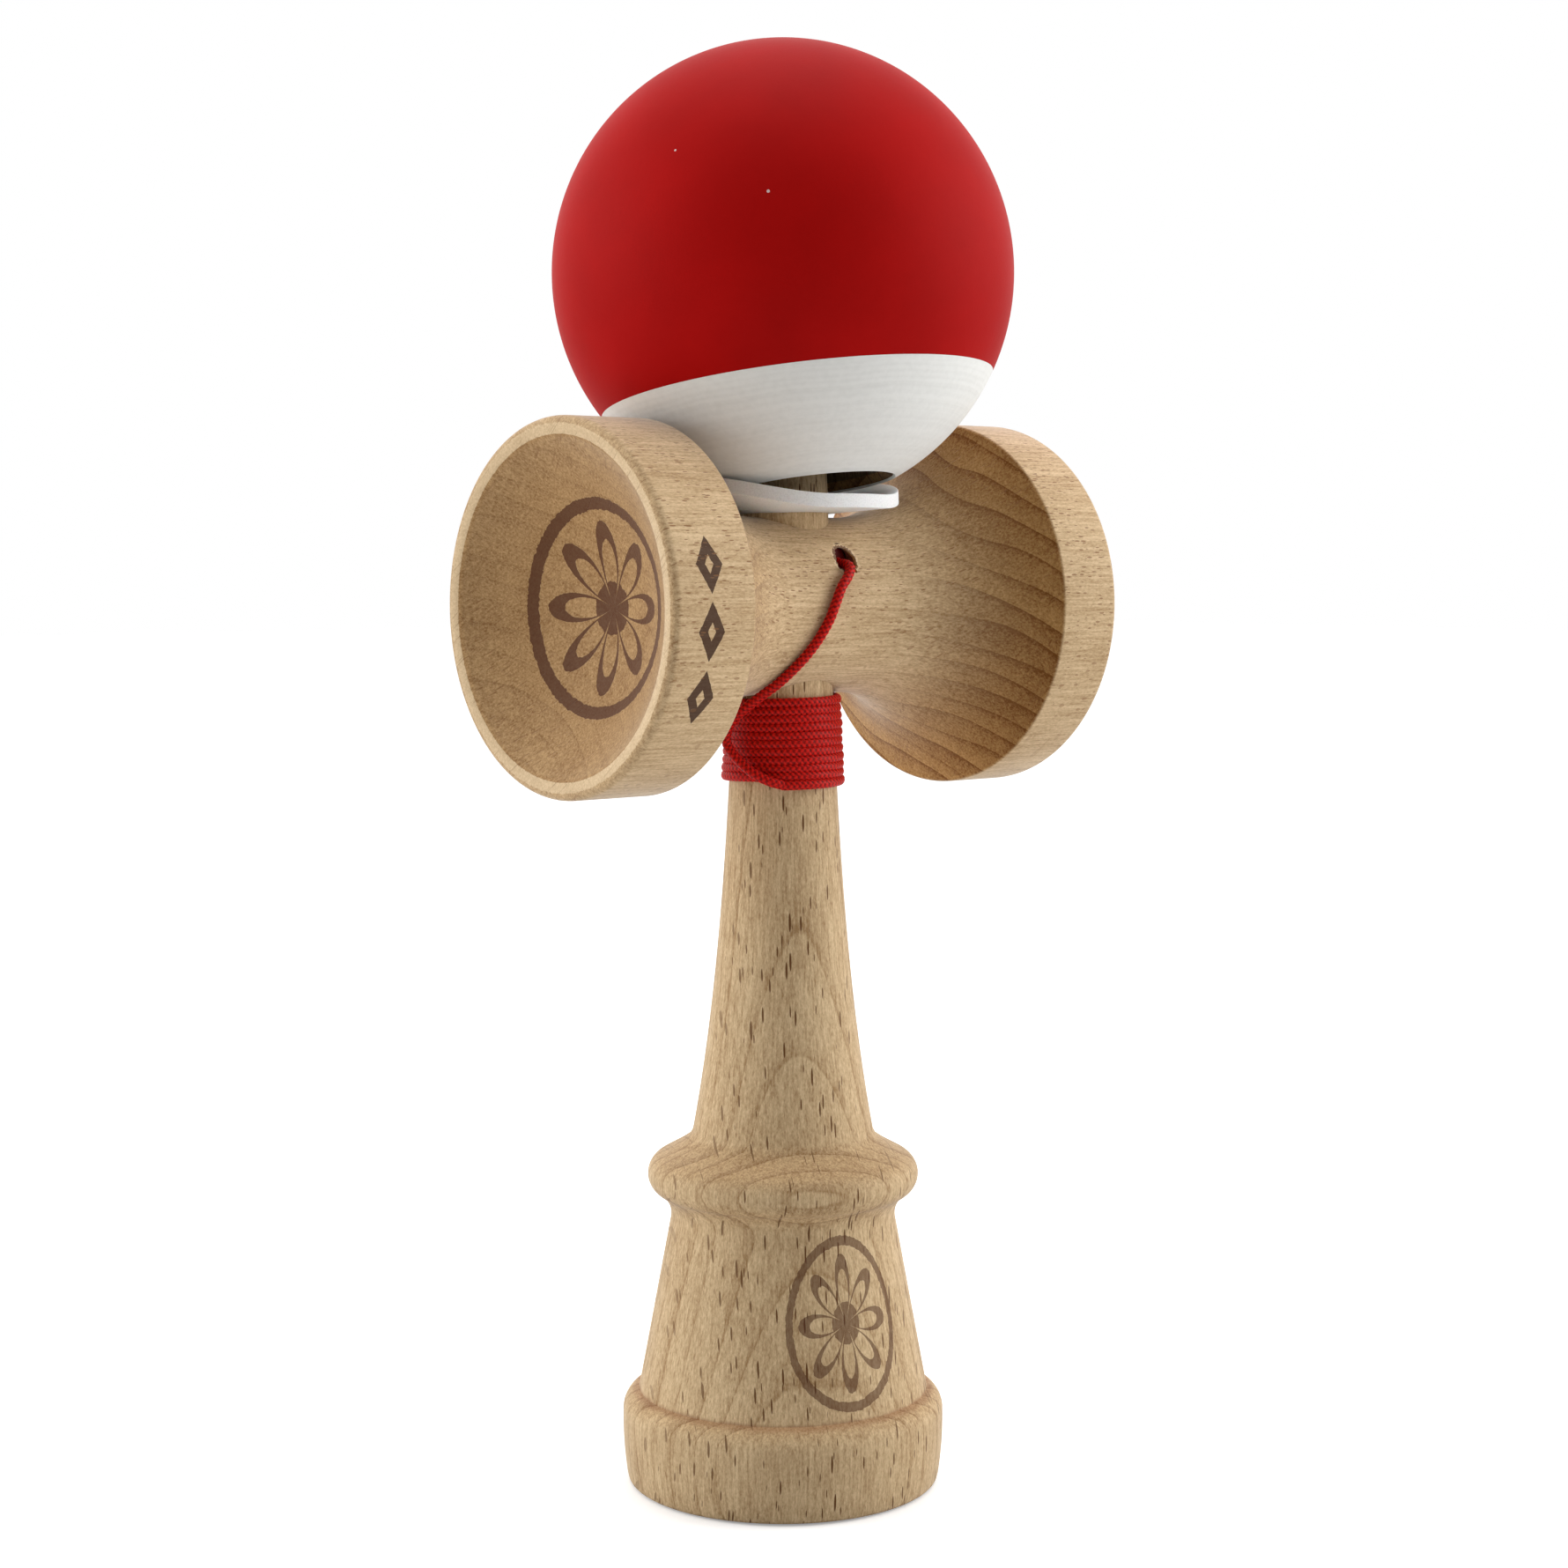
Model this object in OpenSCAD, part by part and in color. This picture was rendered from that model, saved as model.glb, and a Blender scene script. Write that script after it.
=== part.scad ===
// Kendama: a turned sword with a crosspiece, a two-colour ball on its spike,
// a foam spacer between them, and the playing string wound on the handle.
// Z is up, the foot's bottom centre is the origin, the crosspiece lies along X,
// and the string hole is on the -Y side. All sizes are in millimetres.

/* [Ball] */
// Outer diameter of the painted ball
ball_d = 60; // [58:0.5:60]
// Height of the ball's centre above the foot
ball_z = 159.4; // [159.4:0.1:160.4]
// Lean of the ball towards the back, in degrees
ball_lean_back = 8.8; // [8:0.1:9.2]
// Lean of the ball towards the small cup, in degrees
ball_lean_side = 1.5; // [0:0.1:2]
// Depth of the colour line below the ball's centre, along its own axis
colour_line = 15.7; // [10:0.1:20]
// Thickness of the paint and rubber coats
coat = 0.4; // [0.3:0.05:0.6]
// Radius of the spike bore
bore_r = 10.4; // [10.2:0.1:10.8]
// Radius of the bore's bevelled mouth
mouth_r = 11.4; // [11:0.1:12]
// How far the bore reaches past the ball's centre
bore_top = 17.2; // [17:0.1:18]

/* [Crosspiece] */
// Height of the crosspiece's axis above the foot
cross_z = 116.5; // [116:0.1:116.6]
// Radius of the waist that holds the sword
waist_r = 11.6; // [11.3:0.1:11.7]
// Distance from the sword's axis to the small cup's lip
small_end = 36.9; // [36:0.1:38]
// Outer radius of the small cup's rim band
small_rim_r = 23.7; // [23.4:0.1:24]
// Width of the small cup's rim band
small_band = 12.5; // [10:0.1:13]
// Radius of the small cup's mouth
small_mouth_r = 21.4; // [20.5:0.1:21.6]
// Distance from the sword's axis to the big cup's lip
big_end = 37.9; // [37:0.1:39]
// Outer radius of the big cup's rim band
big_rim_r = 24.5; // [24:0.1:25]
// Width of the big cup's rim band
big_band = 10.3; // [9:0.1:11]
// Radius of the big cup's mouth
big_mouth_r = 22.3; // [21.5:0.1:22.5]
// Radius of the ball that the cups are hollowed for
seat_r = 30.5; // [30.2:0.1:31]

/* [Sword] */
// Largest radius of the foot
foot_r = 21.4; // [21:0.1:22]
// Radius of the base cup's mouth
base_mouth_r = 18.6; // [18:0.1:19]
// Largest radius of the collar
collar_r = 18; // [17.5:0.1:18.5]
// Radius of the handle where it leaves the collar
grip_root_r = 12; // [11.8:0.1:12.2]
// Height of the spike's tip above the foot
tip_z = 162.8; // [160:0.1:163]

/* [Spacer] */
// Outer radius of the foam spacer
spacer_r = 15.3; // [14.5:0.1:15.4]
// Thickness of the foam spacer
spacer_t = 1.7; // [1.6:0.1:1.7]
// Radius that the spacer is bent to by the two flares
spacer_bend = 58; // [56:1:60]

/* [String] */
// Diameter of the braided string
cord_d = 1.25; // [1.1:0.05:1.3]
// Radius of the string hole in the waist
string_hole_r = 1.5; // [1.3:0.1:1.6]

/* [Hidden] */

ball_r = ball_d / 2;
core_r = ball_r - coat;
fit_gap = 0.02;

// heights along the sword
foot_edge = 0.6;
shoulder_r = 3;
shoulder_z = 9.4;
shoulder_turn = 72;
cone_top_r = 15.05;
cone_top_z = 34.8;
collar_round = 2.9;
collar_z = 41.2;
grip_root_z = 47;
grip_end_r = 5.2;
grip_taper = 36.6;
spike_root_z = 128;
tip_r = 2.75;
tip_start_z = tip_z - tip_r;

// crosspiece details
waist_left = 6;
waist_right = 9;
lip_t = 0.2;
lip_round = 1;
band_break = 0.5;
hole_x = 2.1;
hole_z = cross_z + 6.1;
pocket_r = 2.1;
pocket_y = -8.3;
knot_r = 1.8;
knot_t = 1.95;

// the two flares are arcs that leave the waist's cylinder without a corner
small_flare_r = (pow(small_end - small_band - waist_left, 2)
    + pow(small_rim_r - band_break - waist_r, 2)) / (2 * (small_rim_r - band_break - waist_r));
big_flare_r = (pow(big_end - big_band - waist_right, 2)
    + pow(big_rim_r - band_break - waist_r, 2)) / (2 * (big_rim_r - band_break - waist_r));
small_flare_turn = asin((small_end - small_band - waist_left) / small_flare_r);
big_flare_turn = asin((big_end - big_band - waist_right) / big_flare_r);

// spacer
spacer_mid_z = 128.15;
spacer_mid_x = 1;
spacer_tip = 1.9;
spacer_hole_r = 6.25;

// spike bore's bevel, along the ball's axis from its centre
mouth_z = -sqrt(pow(ball_r, 2) - pow(mouth_r, 2));
bevel_t = 1.4;
bevel_slope = (mouth_r - bore_r) / bevel_t;
below_ball = ball_r + 3;

// string inside the ball, along the ball's axis from its centre
string_bore_r = 1.3;
countersink_r = 2.4;
countersink_t = 1.3;
bead_r = 3.5;
bead_z = bore_top - bead_r - 0.3;
bead_hole_r = 0.85;
tama_knot_r = 1.9;
tama_knot_z = bead_z - bead_r - tama_knot_r - 0.1;

// turns of string on the handle
wrap_low = 92.6;
wrap_high = 104.9;
wrap_t = 0.95;
cord_sides = 8;
rings_per_point = 2;

// string from the knot in the waist, down to the lowest turn
lead_route = [
    [2.1, -7.6, 122.4], [2.3, -8.9, 122], [2.1, -10.2, 121.9], [1.7, -11.3, 121.4],
    [0.6, -12, 120.3], [-0.7, -12.3, 119], [-1.8, -12.4, 116.9], [-2.8, -12.3, 114.8],
    [-4.1, -11.7, 112.4], [-5.3, -10.8, 110.4], [-6.4, -9.4, 108.5], [-7.5, -7.5, 106.6],
    [-8.6, -5.1, 104.8], [-9.7, -2.7, 102.8], [-10.2, -1, 100.8], [-10, -0.6, 98.7],
    [-9.3, -2, 96.7], [-8.3, -3.9, 95], [-6.8, -5.4, 94], [-5.2, -6.1, 93.5]
];

// string from the highest turn, up behind the ball and in at its top
rise_route = [
    [3.4, 6.7, 104.6], [2, 7.6, 104.8], [0.8, 8.6, 105.5], [0, 9.4, 106.9],
    [-0.4, 10.2, 108.8], [-0.5, 11.1, 111.1], [-0.5, 14.1, 117.3], [-0.5, 18.3, 126.1],
    [-0.6, 22.6, 135.1], [-0.6, 26, 142.1], [-0.6, 28.7, 147.9], [-0.6, 30.3, 153.1],
    [-0.6, 30.9, 159.4], [-0.6, 30.1, 166.5], [-0.7, 27.7, 173.1], [-0.7, 23.9, 179],
    [-0.7, 18.8, 183.9], [-0.7, 14.3, 186.8], [-0.8, 10.5, 188.5], [-0.8, 7.9, 189.3],
    [-0.8, 6.5, 189.4], [-0.8, 5.3, 189], [-0.8, 4.6, 188.1], [-0.8, 4.3, 186.8],
    [-0.7, 4, 184.5], [-0.6, 3.6, 181.5], [-0.5, 2.9, 177.3], [-0.4, 2.3, 173]
];

function unit(v) = v / norm(v);

// points of an arc about c, from angle a0 to a1
function arc(c, r, a0, a1, n) =
    [for (i = [0 : n]) let (a = a0 + (a1 - a0) * i / n) c + r * [cos(a), sin(a)]];

// distance from the mouth's plane to the centre of a cup's sphere
function seat_back(mouth_r) = sqrt(pow(seat_r, 2) - pow(mouth_r, 2));

// radius of the handle, which thins upward in one even curve
function grip_r(z) = grip_end_r + (grip_root_r - grip_end_r) * exp((grip_root_z - z) / grip_taper);

// radius of the spike above the crosspiece
function spike_r(z) =
    grip_r(spike_root_z) + (tip_r - grip_r(spike_root_z))
    * pow((z - spike_root_z) / (tip_start_z - spike_root_z), 1.6);

// a point of a smooth line through four neighbours, at share t between b and c
function smooth(a, b, c, d, t) =
    0.5 * (2 * b + (c - a) * t + (2 * a - 5 * b + 4 * c - d) * t * t
    + (3 * b - a - 3 * c + d) * t * t * t);

// a route with extra points between the ones chosen by hand
function smooth_route(p, k) = concat(
    [for (i = [0 : len(p) - 2], j = [0 : k - 1]) smooth(
        p[max(i - 1, 0)], p[i], p[i + 1], p[min(i + 2, len(p) - 1)], j / k
    )],
    [p[len(p) - 1]]
);

// directions along a route, and a side direction carried along it without twist
function headings(p) =
    [for (i = [0 : len(p) - 1]) unit(p[min(i + 1, len(p) - 1)] - p[max(i - 1, 0)])];
function across(side, heading) = unit(side - (side * heading) * heading);
function carried_sides(h, start) = [
    for (i = 0, s = across(start, h[0]); i < len(h);
        i = i + 1, s = i < len(h) ? across(s, h[i]) : s) s
];

// a round cord along a route, as one closed solid
module cord_along(route, start_side) {
    p = smooth_route(route, rings_per_point);
    h = headings(p);
    s = carried_sides(h, start_side);
    n = cord_sides;
    rings = len(p);
    points = [for (i = [0 : rings - 1], j = [0 : n - 1])
        let (a = 360 * j / n)
        p[i] + cord_d / 2 * (cos(a) * s[i] + sin(a) * cross(h[i], s[i]))];
    walls = [for (i = [0 : rings - 2], j = [0 : n - 1])
        let (k = (j + 1) % n)
        [i * n + j, (i + 1) * n + j, (i + 1) * n + k, i * n + k]];
    first_cap = [for (j = [0 : n - 1]) j];
    last_cap = [for (j = [n - 1 : -1 : 0]) (rings - 1) * n + j];
    polyhedron(points, concat(walls, [first_cap, last_cap]), convexity = 6);
}

// the sword's outline as [radius, height]: base cup, foot, cone, collar, handle, spike
function ken_outline() = concat(
    arc([0, -seat_back(base_mouth_r)], seat_r, 90, acos(base_mouth_r / seat_r), 14),
    arc([foot_r - 0.65 - foot_edge, foot_edge], foot_edge, -90, -8, 4),
    arc([foot_r - 48, 8.2], 48, -8.6, 0, 5),
    arc([foot_r - shoulder_r, shoulder_z], shoulder_r, 0, shoulder_turn, 9),
    [[cone_top_r, cone_top_z]],
    arc([cone_top_r + 1.2, cone_top_z + 0.4], 1.2, 180, 128, 3),
    arc([collar_r - collar_round, collar_z], collar_round, -46, 64, 14),
    [[grip_root_r + 0.5, grip_root_z - 0.9]],
    [for (z = [grip_root_z : 4.5 : spike_root_z]) [grip_r(z), z]],
    [for (z = [spike_root_z : 4 : tip_start_z - 1]) [spike_r(z), z]],
    arc([0, tip_start_z], tip_r, 0, 90, 8)
);

module ken() {
    color("burlywood") rotate_extrude($fn = 128) polygon(ken_outline());
}

// the crosspiece's outline as [radius, place along its axis], small cup to big cup
function sarado_outline() = concat(
    arc([0, -small_end + lip_t - seat_back(small_mouth_r)], seat_r, 90,
        acos(small_mouth_r / seat_r), 16),
    arc([small_rim_r - lip_round, -small_end + lip_round], lip_round, -110, 0, 8),
    arc([small_rim_r - band_break, -small_end + small_band - band_break], band_break, 0, 90, 4),
    arc([waist_r + small_flare_r, -waist_left], small_flare_r, 180 + small_flare_turn, 180, 16),
    arc([waist_r + big_flare_r, waist_right], big_flare_r, 180, 180 - big_flare_turn, 16),
    arc([big_rim_r - band_break, big_end - big_band + band_break], band_break, -90, 0, 4),
    arc([big_rim_r - lip_round, big_end - lip_round], lip_round, 0, 110, 8),
    arc([0, big_end - lip_t + seat_back(big_mouth_r)], seat_r, -acos(big_mouth_r / seat_r), -90,
        16)
);

module sarado() {
    color("burlywood") difference() {
        translate([0, 0, cross_z]) rotate([0, 90, 0]) rotate_extrude($fn = 128)
            polygon(sarado_outline());
        // tapered bore that the sword is pressed into
        rotate_extrude($fn = 96) polygon(concat(
            [[0, grip_root_z + 54]],
            [for (z = [grip_root_z + 54 : 4.5 : spike_root_z + 6]) [grip_r(z) + fit_gap, z]],
            [[0, spike_root_z + 5]]
        ));
        // string hole, and the pocket behind it for the knot
        translate([hole_x, -waist_r - 2, hole_z]) rotate([-90, 0, 0])
            cylinder(r = string_hole_r, h = waist_r, $fn = 48);
        translate([hole_x, pocket_y, hole_z]) rotate([-90, 0, 0])
            cylinder(r = pocket_r, h = 4, $fn = 48);
    }
}

module sarado_knot() {
    color("firebrick") translate([hole_x, pocket_y + 0.1, hole_z]) rotate([-90, 0, 0])
        rotate_extrude($fn = 48) polygon(concat(
            [[0, 0]],
            arc([knot_r - 0.7, 0.7], 0.7, -90, 0, 4),
            arc([knot_r - 0.7, knot_t - 0.7], 0.7, 0, 90, 4),
            [[0, knot_t]]
        ));
}

module spacer_washer() {
    color("white") translate([0, 0, spacer_mid_z]) rotate([-spacer_tip, 0, 0]) difference() {
        translate([0, 0, -5]) cylinder(r = spacer_r, h = 15, $fn = 128);
        translate([0, 0, -6]) cylinder(r = spacer_hole_r, h = 17, $fn = 96);
        translate([spacer_mid_x, 20, spacer_bend]) rotate([90, 0, 0])
            cylinder(r = spacer_bend - spacer_t, h = 40, $fn = 180);
        difference() {
            translate([0, 0, -3]) cube([40, 40, 14], center = true);
            translate([spacer_mid_x, 22, spacer_bend]) rotate([90, 0, 0])
                cylinder(r = spacer_bend, h = 44, $fn = 180);
        }
    }
}

// places a shape in the ball's own leaning frame, with its centre at the origin
module in_ball() {
    translate([0, 0, ball_z]) rotate([-ball_lean_back, -ball_lean_side, 0]) children();
}

// spike bore and string bore, as [radius, place along the ball's axis]
module ball_bores() {
    rotate_extrude($fn = 128) polygon([
        [0, -below_ball], [mouth_r + bevel_slope * (below_ball + mouth_z), -below_ball],
        [bore_r, mouth_z + bevel_t], [bore_r, -8], [8.4, bore_top - 4], [5, bore_top],
        [string_bore_r, bore_top], [string_bore_r, ball_r - countersink_t],
        [countersink_r, ball_r], [countersink_r, ball_r + 1], [0, ball_r + 1]
    ]);
}

module tama_core() {
    color("wheat") in_ball() difference() {
        sphere(r = core_r, $fn = 160);
        ball_bores();
    }
}

module coat_shell(low, high) {
    in_ball() difference() {
        intersection() {
            sphere(r = ball_r, $fn = 160);
            translate([0, 0, low]) cylinder(r = ball_r + 1, h = high - low, $fn = 64);
        }
        sphere(r = core_r, $fn = 160);
        ball_bores();
    }
}

module tama_red_coat() {
    color("firebrick") coat_shell(-colour_line, ball_r + 1);
}

module tama_white_coat() {
    color("whitesmoke") coat_shell(-ball_r - 1, -colour_line);
}

module tama_bead() {
    color("ivory") in_ball() translate([0, 0, bead_z]) difference() {
        sphere(r = bead_r, $fn = 64);
        cylinder(r = bead_hole_r, h = 3 * bead_r, center = true, $fn = 32);
    }
}

module tama_knot() {
    color("firebrick") in_ball() translate([0, 0, tama_knot_z]) sphere(r = tama_knot_r, $fn = 48);
}

module string_lead() {
    color("firebrick") cord_along(lead_route, [1, 0, 0]);
}

module string_wraps() {
    color("firebrick") rotate_extrude($fn = 96) polygon([
        for (z = [wrap_low, wrap_high]) [grip_r(z) + fit_gap, z],
        for (z = [wrap_high, wrap_low]) [grip_r(z) + wrap_t, z]
    ]);
}

module string_rise() {
    color("firebrick") cord_along(rise_route, [1, 0, 0]);
}

ken();
sarado();
sarado_knot();
spacer_washer();
tama_core();
tama_red_coat();
tama_white_coat();
tama_bead();
tama_knot();
string_lead();
string_wraps();
string_rise();
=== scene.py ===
import math

import bmesh
import bpy
import numpy as np
from mathutils import Matrix, Vector


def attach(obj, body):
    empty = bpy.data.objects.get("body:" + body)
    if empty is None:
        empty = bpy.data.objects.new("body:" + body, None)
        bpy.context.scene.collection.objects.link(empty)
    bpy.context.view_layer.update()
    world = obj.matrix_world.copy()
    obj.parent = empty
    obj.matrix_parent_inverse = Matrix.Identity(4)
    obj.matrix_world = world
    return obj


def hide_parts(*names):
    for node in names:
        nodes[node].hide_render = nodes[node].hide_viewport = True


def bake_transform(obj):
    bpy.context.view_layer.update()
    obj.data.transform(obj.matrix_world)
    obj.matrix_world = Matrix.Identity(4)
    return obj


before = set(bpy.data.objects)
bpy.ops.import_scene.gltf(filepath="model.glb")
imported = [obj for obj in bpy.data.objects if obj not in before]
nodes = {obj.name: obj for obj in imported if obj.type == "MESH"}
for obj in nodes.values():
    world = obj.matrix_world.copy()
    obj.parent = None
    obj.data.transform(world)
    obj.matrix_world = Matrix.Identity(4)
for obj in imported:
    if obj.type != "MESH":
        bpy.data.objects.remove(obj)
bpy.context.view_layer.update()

# ---- Camera
# A long lens held level with the crosspiece and turned a little downward,
# on the side of the small cup and the string hole.
camera_data = bpy.data.cameras.new("camera")
camera_data.sensor_width = 36
camera_data.lens = 64.7
camera = bpy.data.objects.new("camera", camera_data)
camera.location = (-0.24195, -0.28102, 0.12249)
camera_look = Vector((0.6507, 0.7552, -0.0792))
camera.rotation_euler = camera_look.to_track_quat("-Z", "Y").to_euler()
bpy.context.scene.collection.objects.link(camera)
bpy.context.scene.camera = camera
bpy.context.scene.view_settings.view_transform = "Standard"

# ---- String
# One braided polyester cord, knotted behind the hole in the crosspiece, led down
# to the handle, wound up it in ten and a half turns, and taken up behind the ball
# to the hole in its top. Its route is in millimetres, as the solids under it are.
mm = 0.001
cord_d = 1.25
lead_route = [
    [2.1, -7.6, 122.4], [2.3, -8.9, 122], [2.1, -10.2, 121.9], [1.7, -11.3, 121.4],
    [0.6, -12, 120.3], [-0.7, -12.3, 119], [-1.8, -12.4, 116.9], [-2.8, -12.3, 114.8],
    [-4.1, -11.7, 112.4], [-5.3, -10.8, 110.4], [-6.4, -9.4, 108.5], [-7.5, -7.5, 106.6],
    [-8.6, -5.1, 104.8], [-9.7, -2.7, 102.8], [-10.2, -1, 100.8], [-10, -0.6, 98.7],
    [-9.3, -2, 96.7], [-8.3, -3.9, 95], [-6.8, -5.4, 94], [-5.2, -6.1, 93.5],
]
rise_route = [
    [3.4, 6.7, 104.6], [2, 7.6, 104.8], [0.8, 8.6, 105.5], [0, 9.4, 106.9],
    [-0.4, 10.2, 108.8], [-0.5, 11.1, 111.1], [-0.5, 14.1, 117.3], [-0.5, 18.3, 126.1],
    [-0.6, 22.6, 135.1], [-0.6, 26, 142.1], [-0.6, 28.7, 147.9], [-0.6, 30.3, 153.1],
    [-0.6, 30.9, 159.4], [-0.6, 30.1, 166.5], [-0.7, 27.7, 173.1], [-0.7, 23.9, 179],
    [-0.7, 18.8, 183.9], [-0.7, 14.3, 186.8], [-0.8, 10.5, 188.5], [-0.8, 7.9, 189.3],
    [-0.8, 6.5, 189.4], [-0.8, 5.3, 189], [-0.8, 4.6, 188.1], [-0.8, 4.3, 186.8],
    [-0.7, 4, 184.5], [-0.6, 3.6, 181.5], [-0.5, 2.9, 177.3], [-0.4, 2.3, 173],
]
wrap_turns = 10.54
wrap_start_z = 93.45
wrap_pitch = 1.06
turn_steps = 72
grip_root_z = 47        # where the handle leaves the collar
grip_end_r = 5.2
grip_widening = 6.8
grip_taper = 36.6
cord_seat = 0.52        # from the handle's surface to the middle of a pressed turn
ring_step = 0.15
braid_pitch = 2.9       # length in which one strand goes once round the cord
braid_strands = 4       # strands that run each way
braid_relief = 0.15
pressed_flat = 0.16     # share by which a turn is pressed against the handle
pressed_below_z = 105.2
pressed_within_r = 8.4
cord_red = (0.72, 0.011, 0.006, 1)
cord_shadow_red = (0.10, 0.001, 0.001, 1)


def grip_radius(z):
    """Radius of the handle at height z, thinning upward in one even curve."""
    return grip_end_r + grip_widening * np.exp((grip_root_z - np.asarray(z, float)) / grip_taper)


def smooth_line(points, steps=12):
    """Catmull-Rom line through given points."""
    p = np.array(points, float)
    p = np.vstack([2 * p[0] - p[1], p, 2 * p[-1] - p[-2]])
    t = np.linspace(0, 1, steps, endpoint=False)[:, None]
    line = [
        0.5 * (2 * b + (c - a) * t + (2 * a - 5 * b + 4 * c - d) * t**2 + (3 * b - a - 3 * c + d) * t**3)
        for a, b, c, d in zip(p[:-3], p[1:-2], p[2:-1], p[3:])
    ]
    return np.vstack([*line, p[-2:-1]])


def even_line(points, step):
    """The same line with its points a step apart, and their distances along it."""
    along = np.concatenate([[0], np.cumsum(np.linalg.norm(np.diff(points, axis=0), axis=1))])
    places = np.linspace(0, along[-1], round(along[-1] / step) + 1)
    return np.column_stack([np.interp(places, along, points[:, k]) for k in range(3)]), places


def wrap_line():
    """The turns on the handle, each lying on the one below, with a hand's unevenness."""
    first = math.atan2(lead_route[-1][1], lead_route[-1][0])
    turn = np.linspace(0, wrap_turns, round(wrap_turns * turn_steps) + 1)
    angle = first + 2 * math.pi * turn
    z = wrap_start_z + wrap_pitch * turn + 0.05 * np.sin(5.3 * turn) * np.sin(angle + turn)
    r = grip_radius(z) + cord_seat + 0.05 * np.sin(7.9 * turn + 1)
    lead_in = np.clip(1 - turn / 0.2, 0, 1) ** 2
    lead_out = np.clip((turn - wrap_turns + 0.12) / 0.12, 0, 1) ** 2
    r = r + (math.hypot(*lead_route[-1][:2]) - r) * lead_in
    r = r + (math.hypot(*rise_route[0][:2]) - r) * lead_out
    return np.column_stack([r * np.cos(angle), r * np.sin(angle), z])


def unit_rows(v):
    return v / np.linalg.norm(v, axis=1, keepdims=True)


def carried_sides(heading, start):
    """A side direction carried along a line without twist."""
    sides = np.empty_like(heading)
    side = np.array(start, float)
    for i, h in enumerate(heading):
        side = side - (side @ h) * h
        side /= np.linalg.norm(side)
        sides[i] = side
    return sides


def new_piece(name, points, faces, sharp_angle=35):
    """A mesh object from points in millimetres, smooth except at its sharp edges."""
    mesh = bpy.data.meshes.new(name)
    mesh.from_pydata((np.asarray(points, float) * mm).tolist(), [], faces)
    shape = bmesh.new()
    shape.from_mesh(mesh)
    bmesh.ops.recalc_face_normals(shape, faces=shape.faces)
    shape.to_mesh(mesh)
    shape.free()
    mesh.shade_smooth()
    mesh.set_sharp_from_angle(angle=math.radians(sharp_angle))
    piece = bpy.data.objects.new(name, mesh)
    bpy.context.scene.collection.objects.link(piece)
    return piece


def braided_cord(name, route, sides=18):
    """A round braided cord along a route, and how high each of its points stands in the braid."""
    line, along = even_line(route, ring_step)
    heading = unit_rows(np.gradient(line, axis=0))
    side = carried_sides(heading, (1, 0, 0))
    other = np.cross(heading, side)
    around = 2 * math.pi * np.arange(sides) / sides
    one_way = braid_strands * around[None, :] + 2 * math.pi * along[:, None] * braid_strands / braid_pitch
    back_way = braid_strands * around[None, :] - 2 * math.pi * along[:, None] * braid_strands / braid_pitch
    over = np.cos(one_way / 2) * np.cos(back_way / 2)
    height = np.maximum(
        np.abs(np.cos(one_way / 2)) ** 0.7 * (0.65 + 0.35 * over),
        np.abs(np.cos(back_way / 2)) ** 0.7 * (0.65 - 0.35 * over),
    )
    radius = cord_d / 2 + braid_relief * (height - 0.6)
    offset = radius[..., None] * (
        np.cos(around)[None, :, None] * side[:, None] + np.sin(around)[None, :, None] * other[:, None]
    )
    # turns on the handle are pressed a little flat against it
    outward = line * (1, 1, 0)
    outward = unit_rows(outward)[:, None]
    z = line[:, 2]
    on_handle = (z < pressed_below_z) & (np.linalg.norm(line[:, :2], axis=1) < pressed_within_r)
    pressed = np.where(on_handle, pressed_flat, 0.0)
    pressed = np.convolve(pressed, np.ones(15) / 15, mode="same")[:, None, None]
    offset = offset - pressed * (offset * outward).sum(2, keepdims=True) * outward
    points = (line[:, None] + offset).reshape(-1, 3)
    ring = np.arange(sides)
    faces = [
        (int(i + a), int(i + b), int(i + sides + b), int(i + sides + a))
        for i in range(0, (len(line) - 1) * sides, sides)
        for a, b in zip(ring, np.roll(ring, -1))
    ]
    faces += [tuple(range(sides)), tuple(range(len(points) - sides, len(points)))]
    return new_piece(name, points, faces, sharp_angle=80), line, height.ravel()


def add(tree, kind, settings=None, **inputs):
    """A shader node, with its settings, and its inputs set or linked by name or number."""
    made = tree.nodes.new("ShaderNode" + kind)
    for key, value in (settings or {}).items():
        setattr(made, key, value)
    for key, value in inputs.items():
        socket = made.inputs[int(key[1:]) if key[1:].isdigit() else key.replace("_", " ")]
        if isinstance(value, bpy.types.NodeSocket):
            tree.links.new(value, socket)
        else:
            socket.default_value = value
    return made


def calc(tree, operation, *values, clamp=False):
    """The result of one maths node."""
    inputs = {f"i{k}": v for k, v in enumerate(values)}
    return add(tree, "Math", {"operation": operation, "use_clamp": clamp}, **inputs).outputs[0]


def tint(tree, share, under, over, mode="MIX"):
    """One colour laid over another by a share."""
    settings = {"data_type": "RGBA", "blend_type": mode}
    return add(tree, "Mix", settings, i0=share, i6=under, i7=over).outputs[2]


def ramp(tree, value, *stops):
    """A colour ramp through (place, colour) stops; a number stands for a grey."""
    made = add(tree, "ValToRGB", Fac=value)
    line = made.color_ramp.elements
    for k, (place, colour) in enumerate(stops):
        stop = line[k] if k < 2 else line.new(place)
        stop.position = place
        stop.color = colour if hasattr(colour, "__len__") else (colour, colour, colour, 1)
    return made.outputs[0]


def start_finish(name, **sockets):
    """A new material, its node tree and its shader, with the shader's constant sockets set."""
    finish = bpy.data.materials.new(name)
    finish.use_nodes = True
    shader = finish.node_tree.nodes["Principled BSDF"]
    for key, value in sockets.items():
        shader.inputs[key.replace("_", " ")].default_value = value
    return finish, finish.node_tree, shader


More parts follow.
